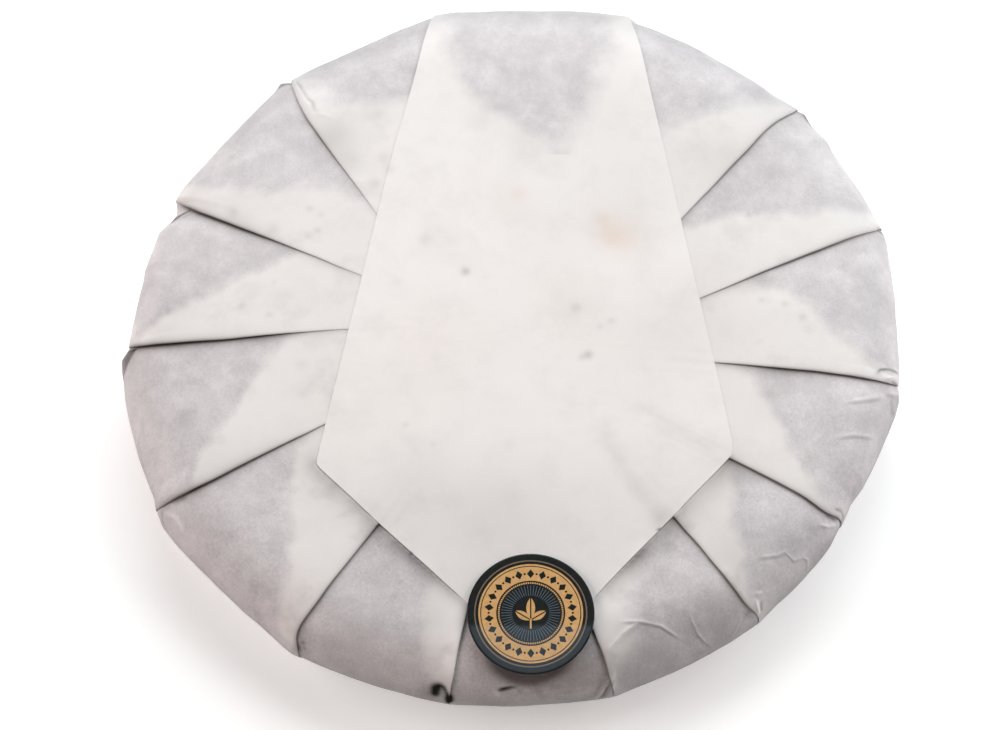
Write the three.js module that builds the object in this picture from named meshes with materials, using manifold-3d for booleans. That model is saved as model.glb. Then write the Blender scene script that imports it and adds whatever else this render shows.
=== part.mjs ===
// A pressed tea cake in its paper wrapper, lying with the pleated back of the wrapper up.
// The wrapper is shut, so cake and paper are one solid, and a round sticker seals the flap's tip.
// Millimetres, +Z up. The origin is the middle of the flat underside, -Y is the side that the flap points to.
import * as THREE from 'three';
import { mergeVertices } from 'three/addons/utils/BufferGeometryUtils.js';
import Module from 'manifold-3d';

const { clamp, degToRad, euclideanModulo, lerp, radToDeg, smoothstep } = THREE.MathUtils;

// Wrapped cake
const RADIUS = 100; // axis to the widest line of the rim
const THICKNESS = 25; // underside to the middle of the top, under the flap
const SHOULDER_RADIUS = 87; // where the top turns down into the rim
const SHOULDER_Z = 22.9;
const SHOULDER_SLOPE = 10.7; // degrees
const WIDEST_Z = 11.5;
const FOOT_RADIUS = 87; // flat part of the underside

// How far the half section keeps its direction at the ends of its three curves
const TOP_PULL = 50;
const SHOULDER_PULL_IN = 9.2;
const SHOULDER_PULL_OUT = 6.6;
const WIDEST_PULL_UP = 6;
const WIDEST_PULL_DOWN = 6.5;
const FOOT_PULL = 7.5;

// Folds, anticlockwise: angle at the rim, how far the fold line passes beside the axis, rim radius there.
// The first two are the corners of the flap, the next six lap towards -Y on the left, the rest on the right.
const FOLDS = [
  { angle: 71.5, beside: 0, reach: 102 },
  { angle: 102.3, beside: 0, reach: 99.5 },
  { angle: 128.8, beside: 15, reach: 97 },
  { angle: 157, beside: 5, reach: 97 },
  { angle: 182.3, beside: 2, reach: 100 },
  { angle: 208.6, beside: 7, reach: 102 },
  { angle: 237.3, beside: 7, reach: 100.5 },
  { angle: 261.2, beside: 7, reach: 99.5 },
  { angle: 284.3, beside: -7, reach: 99.5 },
  { angle: 307.8, beside: -6, reach: 99 },
  { angle: 327.4, beside: -8, reach: 98 },
  { angle: 351.8, beside: -9, reach: 100.5 },
  { angle: 377.5, beside: -15, reach: 102 },
  { angle: 401.3, beside: -14, reach: 102 },
];
const FLAP_PANEL = 0; // the panel that starts at this fold lies under the flap
const LOWEST_PANEL = 7; // lapped by its neighbours on both sides
const FACET = 0.5; // how the paper runs from fold to fold along the rim: 0 round, 1 straight
const FACET_START = 55; // the folds' uneven reach grows between these distances from the axis
const FACET_FULL = 92;

// Raised lip of a fold; distances run along the surface from the axis
const LIP_WIDTH = 0.25; // degrees of turn in which the lip drops to the next panel
const LIP_INNER = 0.3; // height near the middle
const LIP_RIM = 1.2; // height at the rim
const LIP_START = 40;
const LIP_FULL = 99;
const LIP_FADE = 101;
const LIP_END = 113;

// Flap: a corner of the sheet folded over the far rim, its outline laid out flat from the axis
const FLAP_TIP = { x: 4.5, y: -92 };
const FLAP_TIP_WIDTH = 1;
const FLAP_CORNER_Y = -38.5; // corners where the two cut edges meet the side folds
const FLAP_LEFT = -48.8;
const FLAP_RIGHT = 55.2;
const FLAP_FAR_Y = 96; // where the flap turns over the far rim
const FLAP_FAR_LEFT = -20.7;
const FLAP_FAR_RIGHT = 32;
const FLAP_END_Y = 112; // where it merges with the wall
const FLAP_LIFT = 0.9; // its upper face above the cake
const FLAP_END_LIFT = 0.15;
const FLAP_SINK = 0.5; // how deep its lower face is fused into the cake

// Sticker, laid over the flap's tip and bent with the shoulder
const SEAL_RADIUS = 15.6;
const SEAL_THICKNESS = 0.5;
const SEAL_CENTRE = { x: 4.5, y: -80.4 };
const SEAL_GAP = 0.3; // above the flap

// How finely the surfaces are divided
const TOP_RINGS = [0, 24, 40, 52, 62, 70, 77, 83];
const RIM_RINGS = 6;
const WALL_RINGS = 5;
const PANEL_STRIPS = 7;
const FLAP_COLUMNS = 16;
const FLAP_ROWS = 24;
const FLAP_TIP_SHARE = 1 / 3; // share of the rows between tip and corners
const SEAL_RINGS = 5;
const SEAL_SIDES = 48;

const wasm = await Module();
wasm.setup();

const meridian = halfSection();
const meridianLength = meridian.getLength();

// Half section, from the middle of the top over the shoulder and the widest line to the flat underside
function halfSection() {
  const slope = degToRad(SHOULDER_SLOPE);
  const down = new THREE.Vector2(Math.cos(slope), -Math.sin(slope));
  const shoulder = new THREE.Vector2(SHOULDER_RADIUS, SHOULDER_Z);
  const before = shoulder.clone().addScaledVector(down, -SHOULDER_PULL_IN);
  const after = shoulder.clone().addScaledVector(down, SHOULDER_PULL_OUT);
  const path = new THREE.Path();
  path.moveTo(0, THICKNESS);
  path.bezierCurveTo(TOP_PULL, THICKNESS, before.x, before.y, shoulder.x, shoulder.y);
  path.bezierCurveTo(after.x, after.y, RADIUS, WIDEST_Z + WIDEST_PULL_UP, RADIUS, WIDEST_Z);
  path.bezierCurveTo(RADIUS, WIDEST_Z - WIDEST_PULL_DOWN, FOOT_RADIUS + FOOT_PULL, 0, FOOT_RADIUS, 0);
  return path;
}

function nextFold(panel) {
  if (panel + 1 < FOLDS.length) {
    return FOLDS[panel + 1];
  }
  return { ...FOLDS[0], angle: FOLDS[0].angle + 360 };
}

// Rim radius at an angle: between two folds the paper is partly straight, partly round
function rimReach(angle) {
  const first = FOLDS[0].angle;
  const turned = first + euclideanModulo(angle - first, 360);
  const panel = FOLDS.findLastIndex((fold) => fold.angle <= turned);
  const from = FOLDS[panel];
  const to = nextFold(panel);
  const round = lerp(from.reach, to.reach, (turned - from.angle) / (to.angle - from.angle));
  const behind = Math.sin(degToRad(turned - from.angle));
  const ahead = Math.sin(degToRad(to.angle - turned));
  const whole = Math.sin(degToRad(to.angle - from.angle));
  const straight = (from.reach * to.reach * whole) / (from.reach * behind + to.reach * ahead);
  return lerp(round, straight, FACET);
}

// Point of the cake's surface, a distance along the half section and an angle round the axis, lifted off it
function surfacePoint(along, angle, lift) {
  const at = meridian.getPoint(along / meridianLength);
  const tangent = meridian.getTangent(along / meridianLength);
  const uneven = smoothstep(along, FACET_START, FACET_FULL);
  const scale = lerp(1, rimReach(angle) / RADIUS, uneven);
  const r = (at.x - tangent.y * lift) * scale;
  const turn = degToRad(angle);
  return new THREE.Vector3(r * Math.cos(turn), r * Math.sin(turn), at.y + tangent.x * lift);
}

// The same for a point of a sheet that is laid out flat around the axis
function sheetPoint(x, y, lift) {
  return surfacePoint(Math.hypot(x, y), radToDeg(Math.atan2(y, x)), lift);
}

// A fold is a straight line that passes a little beside the axis
function foldAngle(fold, along) {
  const distance = clamp(along, LIP_START, RADIUS);
  return fold.angle + radToDeg(Math.asin(fold.beside / distance) - Math.asin(fold.beside / RADIUS));
}

// Height of a fold's lip above the panel that it laps
function lipHeight(along) {
  const grown = clamp((along - LIP_START) / (LIP_FULL - LIP_START), 0, 1);
  const fade = smoothstep(along, 0, LIP_START) * (1 - smoothstep(along, LIP_FADE, LIP_END));
  return lerp(LIP_INNER, LIP_RIM, grown * grown) * fade;
}

// Each panel comes out from under one neighbour and rises to its own lip over the other
function panelLift(panel, part, along) {
  if (panel === FLAP_PANEL || panel === LOWEST_PANEL) {
    return 0;
  }
  const rise = panel < LOWEST_PANEL ? part : 1 - part;
  return lipHeight(along) * rise * rise;
}

function panelPoint(panel, part, along) {
  const start = foldAngle(FOLDS[panel], along) + LIP_WIDTH / 2;
  const end = foldAngle(nextFold(panel), along) - LIP_WIDTH / 2;
  return surfacePoint(along, lerp(start, end, part), panelLift(panel, part, along));
}

// Closed solid of a geometry, without the flat triangles that a lathe leaves on its axis
function solidOf(geometry) {
  geometry.deleteAttribute('normal');
  geometry.deleteAttribute('uv');
  const merged = mergeVertices(geometry);
  const corners = merged.getIndex().array;
  const triangles = [];
  for (let i = 0; i < corners.length; i += 3) {
    const triangle = corners.slice(i, i + 3);
    if (new Set(triangle).size === 3) {
      triangles.push(...triangle);
    }
  }
  const vertProperties = new Float32Array(merged.getAttribute('position').array);
  const triVerts = new Uint32Array(triangles);
  return new wasm.Manifold(new wasm.Mesh({ numProp: 3, vertProperties, triVerts }));
}

function geometryOf(solid) {
  const { vertProperties, triVerts } = solid.getMesh();
  const geometry = new THREE.BufferGeometry();
  geometry.setAttribute('position', new THREE.BufferAttribute(vertProperties, 3));
  geometry.setIndex(new THREE.BufferAttribute(triVerts, 1));
  geometry.computeVertexNormals();
  return geometry;
}

// Even steps from one value to another, without the first
function stepsBetween(from, to, count) {
  return Array.from({ length: count }, (_, step) => lerp(from, to, (step + 1) / count));
}

// Distances along the half section at which the cake has a ring of points, from the underside up
function ringDistances() {
  const [top, rim] = meridian.getCurveLengths();
  const onTop = [...TOP_RINGS, top];
  const onRim = stepsBetween(top, rim, RIM_RINGS);
  const onWall = stepsBetween(rim, meridianLength, WALL_RINGS);
  return [...onTop, ...onRim, ...onWall].reverse();
}

// Cake and pleated paper: a lathe whose columns are gathered into panels, with two at every fold
function pleatedCake() {
  const rings = ringDistances();
  const middle = new THREE.Vector2(0, 0);
  const outline = [middle, ...rings.map((along) => meridian.getPoint(along / meridianLength))];
  const columnsPerPanel = PANEL_STRIPS + 1;
  const columns = FOLDS.length * columnsPerPanel;
  const lathe = new THREE.LatheGeometry(outline, columns);
  const position = lathe.getAttribute('position');
  for (let column = 0; column <= columns; column++) {
    const panel = Math.floor(column / columnsPerPanel) % FOLDS.length;
    const part = (column % columnsPerPanel) / PANEL_STRIPS;
    const first = column * outline.length;
    position.setXYZ(first, 0, 0, 0);
    rings.forEach((along, ring) => {
      const point = panelPoint(panel, part, along);
      position.setXYZ(first + ring + 1, point.x, point.y, point.z);
    });
  }
  return solidOf(lathe);
}

// Left and right edge of the flat flap at a distance along it
function flapEdges(y) {
  if (y < FLAP_CORNER_Y) {
    const part = (y - FLAP_TIP.y) / (FLAP_CORNER_Y - FLAP_TIP.y);
    const half = FLAP_TIP_WIDTH / 2;
    return [lerp(FLAP_TIP.x - half, FLAP_LEFT, part), lerp(FLAP_TIP.x + half, FLAP_RIGHT, part)];
  }
  const part = (y - FLAP_CORNER_Y) / (FLAP_FAR_Y - FLAP_CORNER_Y);
  return [lerp(FLAP_LEFT, FLAP_FAR_LEFT, part), lerp(FLAP_RIGHT, FLAP_FAR_RIGHT, part)];
}

function flapDistance(part) {
  if (part < FLAP_TIP_SHARE) {
    return lerp(FLAP_TIP.y, FLAP_CORNER_Y, part / FLAP_TIP_SHARE);
  }
  return lerp(FLAP_CORNER_Y, FLAP_END_Y, (part - FLAP_TIP_SHARE) / (1 - FLAP_TIP_SHARE));
}

// Flap: a unit box spread into a thin slab over the pleats and fused into them
function flap() {
  const slab = new THREE.BoxGeometry(1, 1, 1, FLAP_COLUMNS, FLAP_ROWS, 1);
  slab.translate(0.5, 0.5, 0);
  const position = slab.getAttribute('position');
  for (let i = 0; i < position.count; i++) {
    const y = flapDistance(position.getY(i));
    const [left, right] = flapEdges(y);
    const x = lerp(left, right, position.getX(i));
    const top = lerp(FLAP_LIFT, FLAP_END_LIFT, smoothstep(y, FLAP_FAR_Y, FLAP_END_Y));
    const point = sheetPoint(x, y, position.getZ(i) > 0 ? top : -FLAP_SINK);
    position.setXYZ(i, point.x, point.y, point.z);
  }
  return solidOf(slab);
}

// Sticker: a thin disc that follows the flap and the shoulder
function sticker() {
  const low = FLAP_LIFT + SEAL_GAP;
  const radii = [0, ...stepsBetween(0, SEAL_RADIUS, SEAL_RINGS)];
  const under = radii.map((r) => new THREE.Vector2(r, low));
  const over = radii.map((r) => new THREE.Vector2(r, low + SEAL_THICKNESS)).reverse();
  const disc = new THREE.LatheGeometry([...under, ...over], SEAL_SIDES);
  disc.rotateX(Math.PI / 2);
  const position = disc.getAttribute('position');
  for (let i = 0; i < position.count; i++) {
    const x = SEAL_CENTRE.x + position.getX(i);
    const y = SEAL_CENTRE.y + position.getY(i);
    const point = sheetPoint(x, y, position.getZ(i));
    position.setXYZ(i, point.x, point.y, point.z);
  }
  return solidOf(disc);
}

function meshOf(name, solid, look) {
  const mesh = new THREE.Mesh(geometryOf(solid), new THREE.MeshStandardMaterial(look));
  mesh.name = name;
  return mesh;
}

const paper = { color: 0xe6e0de, roughness: 0.9, metalness: 0 };
const print = { color: 0x24272a, roughness: 0.3, metalness: 0 };
const group = new THREE.Group();
group.add(meshOf('wrapped_cake', pleatedCake().add(flap()), paper));
group.add(meshOf('seal', sticker(), print));

export default group;
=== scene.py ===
# Looks of a wrapped tea cake: paper pleats, folded flap, sticker, light and camera.
# Lengths are millimetres until a mesh is made, and angles degrees; the frame and Blender are in metres.
from collections import namedtuple
from functools import partialmethod

import bpy
import numpy as np
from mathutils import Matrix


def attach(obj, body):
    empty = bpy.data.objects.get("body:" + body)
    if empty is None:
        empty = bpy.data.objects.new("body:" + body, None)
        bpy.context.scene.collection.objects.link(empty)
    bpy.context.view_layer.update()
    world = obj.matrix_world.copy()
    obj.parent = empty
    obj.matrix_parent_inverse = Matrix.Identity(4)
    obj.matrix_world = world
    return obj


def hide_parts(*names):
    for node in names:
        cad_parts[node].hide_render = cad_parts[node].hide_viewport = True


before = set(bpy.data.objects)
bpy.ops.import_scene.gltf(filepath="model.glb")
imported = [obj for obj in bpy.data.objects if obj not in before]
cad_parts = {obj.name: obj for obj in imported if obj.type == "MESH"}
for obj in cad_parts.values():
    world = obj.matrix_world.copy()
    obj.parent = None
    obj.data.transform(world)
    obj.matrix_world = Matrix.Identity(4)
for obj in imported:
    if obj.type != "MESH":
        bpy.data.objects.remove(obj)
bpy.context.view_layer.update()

MM = 0.001
PERCENT = 0.01
SEED = 7
LATTICE = 64

# Half section of the cake: radius, height and pulls of its three curves
RADIUS = 100
THICKNESS = 25
SHOULDER_RADIUS = 87
SHOULDER_Z = 22.9
SHOULDER_SLOPE = 10.7
WIDEST_Z = 11.5
FOOT_RADIUS = 87
TOP_PULL = 50
SHOULDER_PULL_IN = 9.2
SHOULDER_PULL_OUT = 6.6
WIDEST_PULL_UP = 6
WIDEST_PULL_DOWN = 6.5
FOOT_PULL = 7.5
CURVE_STEPS = 400

# Folds of each side, from the flap to the sticker. angle: at the rim, degrees. beside: how far the line
# passes beside the axis. reach: rim radius. step: how high its lip stands, compared with the others.
# The lists go by the distance from the axis. bends: sideways shift. gap: painted shade under the lip,
# percent.
# white: where across the pleat its white part begins, percent. soft: how soft that edge is. gap_reach: how
# far the painted shade under the lip reaches.
LEVEL = [(0, 0)]
GAP_REACH = [(0, 0.85)]
Fold = namedtuple("Fold", "angle beside reach step bends gap white soft gap_reach",
                  defaults=(LEVEL, LEVEL, LEVEL, 1, GAP_REACH))
LEFT_FOLDS = [
    Fold(102.3, 0, 99.5, 1),
    Fold(128.8, 15, 97, 0.9, [(47, -0.1), (60, 0.65), (78, 2), (83, 2.1), (89, 1.4), (98, -1), (106, -2.9)],
         [(47, 15), (55, 22), (67, 32), (77, 39), (85, 20), (90, 10), (100, 6)],
         [(70, 30), (81, 75), (94, 90)], 5),
    Fold(157, 5, 97, 1.1,
         [(40, 0.65), (51, 0.65), (70, 1.25), (80, 1.55), (86, 1.7), (92, 1.3), (98, 0), (107, -4)],
         [(40, 20), (49, 38), (60, 50), (66, 72), (70, 90), (80, 97), (92, 100), (97, 80), (102, 45)],
         [(51, 0), (60, 16), (75, 62), (102, 94)], 3.2),
    Fold(182.3, 2, 100, 1.1,
         [(42, -0.15), (48, 0.1), (57, 0.6), (74, 1.85), (88, 2.1), (95, 1.5), (100, 0.3), (107, -3.2)],
         [(42, 30), (52, 50), (58, 85), (65, 95), (90, 100), (97, 95), (102, 50)],
         [(58, 5), (62, 18), (72, 42), (82, 64), (91, 80), (98, 95)], 2.6,
         [(57, 0.85), (66, 1.4), (85, 1.3), (92, 0.85)]),
    Fold(208.6, 7, 102, 1.1,
         [(56, -0.05), (63, 0.4), (75, 1.2), (86, 1.7), (93, 1.45), (100, 0.6), (107, -2)],
         [(56, 33), (63, 57), (74, 66), (83, 77), (90, 88), (94, 60), (98, 30), (103, 10)],
         [(56, 0), (68, 37), (76, 65), (85, 80), (91, 100)], 2.2),
    Fold(237.3, 7, 100.5, 1, [(66, 0.15), (87, 0.15), (92, -0.05), (98, -0.15), (105, 2.4)],
         [(64, 62), (69, 52), (75, 36), (84, 42), (96, 38), (102, 20)],
         [(63, 4), (78, 54), (92, 80), (97, 88), (103, 94)], 2.6),
    Fold(261.2, 7, 99.5, 0.7, [(80, -0.2), (97, 0), (102, 0)],
         [(80, 62), (83, 50), (87, 25), (92, 22), (97, 0), (103, 10)],
         [(60, 60), (79, 70), (89, 78), (96, 85), (103, 95)], 2.6),
]
RIGHT_FOLDS = [
    Fold(431.5, 0, 102, 1),
    Fold(401.3, -14, 102, 0.9,
         [(54, -0.33), (62, -0.28), (78, 0.03), (85, 0.35), (89, 0.25), (92, -0.2), (98, -0.7), (106, 1.2)],
         [(53, 38), (68, 47), (77, 43), (84, 36), (94, 22), (99, 12), (103, 8)],
         [(69, 49), (79, 66), (86, 74), (99, 92)], 4),
    Fold(377.5, -15, 102, 1.1,
         [(49, -0.7), (63, -0.8), (81, -1.15), (87, -1.1), (92, -0.95), (98, -0.5), (106, 2)],
         [(48, 34), (56, 38), (63, 52), (70, 54), (80, 62), (86, 40), (92, 18), (98, 7), (102, 5)],
         [(50, 0), (59, 21), (75, 62), (103, 89)], 2.8, [(58, 0.85), (69, 0.6), (80, 0.8), (92, 0.5)]),
    Fold(351.8, -9, 100.5, 1.1,
         [(53, -0.25), (66, -0.8), (72, -1.05), (90, -1.6), (96, -1.3), (100, -0.7), (107, 2.5)],
         [(52, 30), (56, 65), (62, 75), (68, 90), (75, 75), (90, 68), (95, 28), (103, 10)],
         [(61, 2), (72, 26), (81, 64), (92, 87), (99, 93)], 3.2,
         [(62, 0.85), (73, 1.5), (80, 0.9), (85, 0.55), (98, 0.6)]),
    Fold(327.4, -8, 98, 1.1, [(67, -0.6), (73, -0.5), (89, -0.4), (96, -0.6), (99, 0.2), (102, 1.6)],
         [(66, 46), (70, 54), (84, 43), (92, 38), (98, 30), (101, 25)],
         [(62, 8), (72, 42), (81, 72), (95, 93)], 3.2,
         [(68, 2), (73, 1.9), (79, 0.85), (88, 0.55), (95, 0.8)]),
    Fold(307.8, -6, 99, 0.9, [(68, 0.3), (77, -0.1), (85, -0.4), (98, -0.5), (102, 1.1)],
         [(66, 60), (71, 55), (77, 45), (82, 34), (90, 36), (98, 30), (102, 15)],
         [(69, 6), (78, 56), (89, 80), (98, 92)], 3.4),
    Fold(284.3, -7, 99.5, 0.6, [(88, -0.5), (95, 0.2), (99, 0), (103, 0.4), (108, 0.8)],
         [(86, 36), (92, 18), (98, 6), (104, 25)],
         [(60, 30), (74, 46), (83, 67), (93, 75), (100, 99)], 5),
]
# All folds anticlockwise, once round the cake
FOLDS = [RIGHT_FOLDS[0]._replace(angle=RIGHT_FOLDS[0].angle - 360)] + LEFT_FOLDS + RIGHT_FOLDS[::-1]
# Each pleat's name, the fold that it comes out from under, and its own fold
PLEATS = [
    (f"pleat_{side}{number}", *pair) for side, folds in (("l", LEFT_FOLDS), ("r", RIGHT_FOLDS))
    for number, pair in enumerate(zip(folds, folds[1:]))
]
FOLD_INNER = 20
BEND_SOFT = 1.5
# Every unevenness below is a list of waves, each with a height, a size and a seed
WOBBLE = [(0.12, 6, 3)]
WOBBLE_INNER = 45

# Painted shade under and on the lips of the folds
GAP_SOFT = 1.1
GAP_MEAN = 0.93
GAP_UNEVEN = [(0.07, 9, 10)]
GAP_END = (106, 100)
LIP_SOFT = [(60, 0.28), (85, 0.3), (97, 0.5)]
LIP_WIDE = 0.26
LIP_WIDE_REACH = 1.6
LIP_WIDE_SIDES = (0.7, 1.5)
LIP_WIDE_FROM = (55, 78)
LIP_LEFT_X = (20, -60)
LIP_LEFT_Y = (55, 25)
LIP_FRONT_Y = (-78, -48)
LIP_DROP = 0.25
LIP_REACH = 0.5

# Bulges and dents of the rim: angle and change of its radius
RIM_BULGES = [
    (0, -0.7), (4, -0.6), (7, 0), (13, 0.1), (16, 0.5), (19, 0), (33, 0.2), (34.7, 0.9), (38, 0.3),
    (40, 0.7), (41.5, -0.1), (45.5, -0.6), (48, -0.25), (62, -0.25), (66.5, -0.6), (70.3, -1.3),
    (71.5, -0.5), (95, -0.4), (99, 0.1), (102, -0.1), (103, -0.2), (108, -0.3), (115, -0.9), (123, -0.6),
    (128.3, -0.3), (129.3, 0.6), (137, 0.2), (142, 0), (147, 0.4), (154, 0.5), (155.6, 0.2), (156.5, -1),
    (157.7, -1.5), (159.5, -0.8), (161.4, 0.8), (168, 0.6), (170, 0), (179, -1.1), (181.5, -1.2),
    (183.4, 0.4), (185.2, 0.6), (188, 0.75), (190, 0.85), (198, 0.1), (206, -1), (208.8, -0.3),
    (210.3, 0.5), (214, 0.7), (218, 0.5), (221, 0), (230, 0), (240, 0.5), (246, 0.6), (257, 0.5), (261, 0),
    (300, 0.2), (306, -0.3), (313, -0.3), (317, 0), (321, 0.5), (325, 0.3), (328, -0.5), (332, -1.1),
    (335.5, 0), (344, 0.3), (348, 0.8), (350.5, 0.5), (352.5, -0.7), (360, -0.7),
]
FACET = 0.5
FACET_AT = (55, 92)

# Heights over the cake's surface, by distance along it from the axis
BASE_LIFT = [(0, -0.5), (96, -0.5), (108, 0)]
LOW_LIFT = [(0, 0), (50, 0), (75, -0.15), (92, -0.2), (106, 0.15), (117, -0.35)]
STEP_LIFT = [
    (30, 0.08), (45, 0.12), (60, 0.3), (75, 0.56), (90, 0.72), (98, 0.72), (104, 0.45), (110, 0.15),
    (117, 0),
]
WAVES = [(0.2, 26, 1), (0.1, 11, 2), (0.03, 4, 6)]
RIPPLE = [(0.16, 7, 7)]
RIPPLE_AT = (84, 102)
RIPPLE_STRETCH = 0.3

# Pleats
PANEL_INNER = 30
PANEL_OUTER = 117
PANEL_HIDDEN = 5
PANEL_RISE = 1.7
PANEL_THICK = 0.2
PANEL_DEEP = 0.8
PANEL_DEEP_FROM = 0.4
PANEL_EDGE = 1.4
PANEL_COLUMNS = 80
FINE_COLUMNS = 150
FINE_PANELS = ("pleat_r2", "pleat_r4", "pleat_r5")
PANEL_RIM = (80, 106)
PANEL_STEPS = (0.8, 0.5, 1.1)
FINE_STEPS = (0.8, 0.3, 1.1)
LAST_ROW = 0.1
EDGE_COLUMNS = 9
ROLL_COLUMNS = 5
UNDER_COLUMNS = 8
PANEL_BLOTCH = (0.8, 1.7)
PANEL_BLOTCH_Y = (20, -70)
WHITE_RAGGED = [(1.4, 7, 4), (0.9, 2.6, 8)]

# Creases on the sheet laid out flat: points, height of the ridge (a furrow is below 0), its width, and how
# dark the painted shade in its hollow is (below 0, a painted highlight on a pale ridge)
Crease = namedtuple("Crease", "points height width shade")
CREASES = [Crease(*row) for row in [
    # Near pleat right of the sticker
    ([(22.4, -92), (23.9, -89.1), (27.4, -85.5), (30.4, -83.6), (33.5, -82.8)], 0.45, 0.7, -0.13),
    ([(24.9, -90), (28.4, -86.4), (31.4, -84.5), (34.5, -83.7)], -0.15, 1, 0.06),
    # Right pleats
    ([(74.5, -64.6), (76.8, -65.2), (78.4, -68.5)], 0.34, 0.4, 0),
    ([(87.7, -39.5), (92.8, -41.8), (93.5, -45.1)], 0.3, 1.2, 0),
    ([(94.6, -17.7), (99.5, -17.5), (104, -14.6)], 0.6, 0.5, -0.1),
    ([(97.7, -18.1), (99.4, -22), (103.2, -23.3)], -0.4, 0.9, 0.2),
    ([(91.9, -14.1), (94.6, -12), (97.6, -11.1), (103.5, -10.7)], 0.3, 0.36, 0.8),
    ([(37.8, 79.2), (41.1, 79.8)], 0.25, 0.8, 0),
    # Left and front rim
    ([(-88.8, -49.8), (-86.2, -50.3), (-83.5, -51.7), (-82.5, -54.1), (-81.7, -57)], 0.5, 0.5, -0.3),
    ([(-3.8, -99.6), (-2.2, -98.9), (0.6, -98.9), (12.4, -100.2), (22.3, -98.3)], 0.4, 0.6, 0),
    ([(1.3, -99.8), (1.8, -103)], 0.4, 0.8, 0),
    ([(-3.6, -100.9), (-1.6, -100.3), (1, -99.7)], -0.5, 0.42, 1),
    # Rolled and crumpled ends of the folds
    ([(-61.4, 79), (-58.2, 71.7), (-55.6, 66), (-54, 63.4)], 0.5, 0.45, -0.06),
    ([(-53.4, 63.6), (-51.8, 62.3), (-46.9, 60.6)], 0.25, 0.4, -0.06),
    ([(-60.2, 77.7), (-56.8, 70.6), (-55.2, 67.5), (-53.8, 66.3), (-53.2, 63.8),
      (-51.3, 61.9)], -0.3, 0.5, 0.34),
    ([(-79.1, -47), (-82.1, -47.4), (-85.3, -48.3)], -0.3, 0.8, 0.3),
    ([(-88.3, -49.2), (-89.6, -51), (-89.6, -54)], -0.4, 0.5, 0.4),
    ([(-53.5, -86.4), (-54, -88.4)], -0.4, 0.6, 0.35),
    ([(-20.5, -100.9), (-19.1, -98.4), (-17.4, -99.3), (-16.2, -102.1), (-16.3, -104.9)], -0.6, 0.8, 0),
    ([(26, -94), (24.9, -96.2), (23.3, -99.1), (22.4, -102.1), (21.6, -106)], 1, 0.55, -0.35),
    ([(26, -95.5), (25.4, -98), (25.2, -101), (25.2, -105)], 0.8, 0.5, -0.25),
    ([(25.2, -96.4), (24.2, -99.4), (23.9, -102), (23.9, -106)], -0.4, 0.5, 0.8),
    ([(23.8, -95.4), (22.3, -99), (21.5, -102), (21, -105)], -0.3, 0.7, 0.25),
    ([(61.7, -75.6), (62.5, -77.8), (64, -80.4)], 0.9, 0.8, -0.12),
    ([(61.7, -75), (63, -74.6), (64.3, -74.1)], 0.45, 0.4, -0.16),
    ([(63.6, -75.8), (63.8, -77.8), (65, -80)], -0.5, 0.6, 0.42),
    ([(87.6, -53.3), (87, -55.1), (82.5, -56.1), (79.2, -55.9), (78.6, -54.8)], 0.7, 0.6, -0.08),
    ([(80.4, -53), (83.9, -54), (86.6, -54.3)], -0.6, 0.7, 0.5),
    ([(83, -51.5), (86.6, -51.8), (88.6, -53.2), (88, -55.4)], -0.3, 0.4, 0.55),
    ([(93.8, -14.6), (98.5, -13.2), (102.6, -12.8)], 0.5, 0.6, 0),
    ([(96.4, -14.9), (98.8, -14.4), (102.5, -14)], -0.3, 0.5, 0.45),
    ([(94, 28.8), (97, 28.3), (98.6, 31)], 0.4, 0.5, -0.15),
    ([(93, 30.2), (94.8, 29.9), (96.8, 30.2), (100, 30.6)], -0.3, 0.5, 0.5),
    ([(74.6, 67.2), (76.3, 66.2), (77.8, 64.8), (80.5, 62.4)], -0.3, 1.1, 0.6),
    ([(-86.4, 35.8), (-92, 34.2), (-98, 32.6)], -0.3, 0.4, 0.2),
    # Big flap, over the folds under it
    ([(30, -23), (38, -28.5), (44.6, -33.6), (52.9, -38.4)], -0.12, 1.8, 0.065),
    ([(22, -30), (28.2, -43), (34.8, -52), (38.5, -56)], -0.14, 1.9, 0.08),
    ([(37, -10.5), (42, -11.3), (50, -12)], -0.05, 1.1, 0.025),
    ([(24, 3), (34, 3.4), (45, 4)], -0.05, 1.4, 0.02),
    ([(27.5, -57), (33, -59), (36, -62)], 0.1, 1, 0.02),
]]
# Pinched creases: a ridge with a painted highlight and a furrow with painted shade below it
PINCHES = [
    ([(25.9, -82.6), (31.8, -82.7), (37.3, -83.9), (43.1, -87.4)], 0.36, 0.36),
    ([(44.3, -79.9), (45.1, -82.2), (47, -85.7), (49, -87.4), (52.7, -89.6)], 0.4, 0.36),
    ([(57.3, -88), (58, -85.1), (58.7, -80.9), (61.2, -79.8), (64, -79.8)], 0.46, 0.36),
    ([(61, -66.2), (67.8, -64.9), (69.7, -63.9), (72.4, -65.8), (76.2, -64.5)], 0.28, 0.36),
    ([(82.4, -33), (87.2, -31.3), (95, -30.6)], 0.45, 0.5),
    ([(84.3, -22.7), (92.4, -20.1), (95.6, -18.4)], 0.5, 0.5),
]
PINCH_BELOW = (0.25, -0.75)
PINCH_WIDER = 1.4
PINCH_SHADE = 0.1
for points, height, width in PINCHES:
    below = [(x + PINCH_BELOW[0], y + PINCH_BELOW[1]) for x, y in points]
    CREASES.append(Crease(points, height, width, -PINCH_SHADE))
    CREASES.append(Crease(below, -height / 2, PINCH_WIDER * width, PINCH_SHADE))
CREASE_LIMIT = 20
CREASE_TAPER = 4
CREASE_TAPER_PART = 2.5
CREASE_END = -0.3
CREASE_MEAN = 0.8
CREASE_UNEVEN = [(0.2, 1.8, 11)]
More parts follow.
